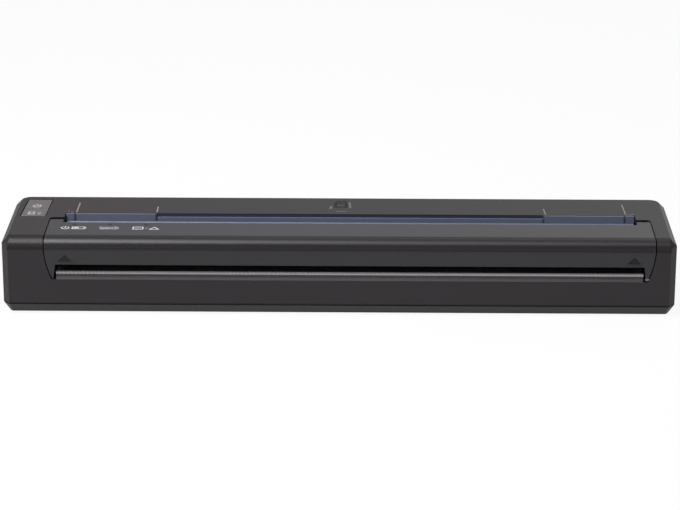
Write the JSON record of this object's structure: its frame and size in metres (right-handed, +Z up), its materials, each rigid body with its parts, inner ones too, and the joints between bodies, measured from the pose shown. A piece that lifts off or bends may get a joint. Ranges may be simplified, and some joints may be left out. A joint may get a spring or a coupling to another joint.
{
  "type": "portable thermal printer",
  "caption": "Slim bar-shaped A4 portable thermal printer with a hinged release cover, a top feed slot, a front exit slot with tear bar and two end keys.",
  "frame": {"origin": "on the table, under the middle of the body's length and depth", "axes": "+X to the right along the length, front (paper exit) at -Y, +Z up"},
  "size_m": [0.255, 0.055, 0.03],
  "materials": {
    "housing_plastic": "matt graphite ABS, finely sanded",
    "cover_plastic": "satin graphite ABS",
    "key_plastic": "matt grey key caps",
    "guide_plastic": "matt slate blue paper guide",
    "dark_plastic": "matt black inner mouldings",
    "steel": "ground steel",
    "zinc_plate": "zinc plated sheet and screws",
    "aluminium": "extruded aluminium",
    "ceramic": "glazed white ceramic",
    "brass": "turned brass",
    "gear_plastic": "natural acetal",
    "rubber": "ground black rubber",
    "board": "green solder mask",
    "lens": "smoked clear lens",
    "wrap": "blue shrink wrap",
    "foam": "black foam tape",
    "ribbon": "amber flat cable"
  },
  "bodies": {
    "base": {"main_housing": "housing_plastic", "bottom_cover": "housing_plastic", "rubber_feet": "rubber", "case_screws": "zinc_plate", "cover_hinge_pins": "steel", "feed_guide": "guide_plastic", "paper_sensor": "dark_plastic", "exit_guide": "dark_plastic", "tear_bar": "steel", "reduction_gear_axle": "steel", "stepper_motor": "zinc_plate", "motor_screws": "zinc_plate", "motor_lead": "ribbon", "chassis": "zinc_plate", "chassis_screws": "zinc_plate", "catch_springs": "steel", "cover_switch": "dark_plastic", "head_cable": "ribbon", "head_pivot_pins": "steel", "head_springs": "steel", "main_board": "board", "board_chips": "dark_plastic", "board_connector": "dark_plastic", "io_board": "board", "dc_jack": "dark_plastic", "usb_socket": "steel", "battery_pack": "wrap", "battery_pad": "foam", "battery_lead": "ribbon", "button_board": "board", "switch_housings": "dark_plastic"},
    "release_cover": {"release_cover": "cover_plastic", "led_lenses": "lens", "led_strip": "board", "platen_bushes": "brass", "platen_carrier": "dark_plastic", "carrier_screws": "zinc_plate"},
    "platen": {"platen_shaft": "steel", "platen_rubber": "rubber", "platen_clips": "steel", "platen_gear": "gear_plastic"},
    "transfer": {"transfer_drive_gear": "gear_plastic", "transfer_gear": "gear_plastic", "transfer_shaft": "steel"},
    "reduction": {"reduction_gear": "gear_plastic"},
    "motor_rotor": {"motor_pinion": "brass", "motor_shaft": "steel"},
    "print_head": {"head_heatsink": "aluminium", "head_ceramic": "ceramic", "head_ic_cover": "dark_plastic", "head_socket": "dark_plastic"},
    "power_key": {"power_button": "key_plastic", "power_switch_stem": "dark_plastic"},
    "feed_key": {"feed_button": "key_plastic", "feed_switch_stem": "dark_plastic"}
  },
  "joints": [
    {"name": "cover_hinge", "type": "hinge", "parent": "base", "child": "release_cover", "pos_m": [0.004, -0.0036, 0.0278], "axis": [-1, 0, 0], "range_deg": [0, 80]},
    {"name": "platen_spin", "type": "hinge", "parent": "release_cover", "child": "platen", "pos_m": [0.004, -0.012, 0.0223], "axis": [1, 0, 0], "continuous": true},
    {"name": "transfer_spin", "type": "hinge", "parent": "base", "child": "transfer", "pos_m": [-0.113, -0.0065, 0.01395], "axis": [1, 0, 0], "continuous": true},
    {"name": "reduction_spin", "type": "hinge", "parent": "base", "child": "reduction", "pos_m": [-0.118, 0.0044, 0.01247], "axis": [1, 0, 0], "continuous": true},
    {"name": "motor_spin", "type": "hinge", "parent": "base", "child": "motor_rotor", "pos_m": [-0.113, 0.0145, 0.01534], "axis": [1, 0, 0], "continuous": true},
    {"name": "head_tilt", "type": "hinge", "parent": "base", "child": "print_head", "pos_m": [0.004, -0.002, 0.0146], "axis": [1, 0, 0], "range_deg": [0, 2.5], "stiffness_Nm_per_rad": 1, "springref_deg": -1.72, "deforming": ["head_springs"]},
    {"name": "power_button_press", "type": "slide", "parent": "base", "child": "power_key", "axis": [0, 0, -1], "range_m": [0, 0.0005], "stiffness_N_per_m": 400, "springref_m": -0.0005},
    {"name": "feed_button_press", "type": "slide", "parent": "base", "child": "feed_key", "axis": [0, 0, -1], "range_m": [0, 0.0005], "stiffness_N_per_m": 400, "springref_m": -0.0005}
  ],
  "couplings": [
    {"joint": "transfer_spin", "follows": "platen_spin", "ratio": -0.81818},
    {"joint": "reduction_spin", "follows": "platen_spin", "ratio": 1.7532},
    {"joint": "motor_spin", "follows": "platen_spin", "ratio": -4.3831}
  ]
}
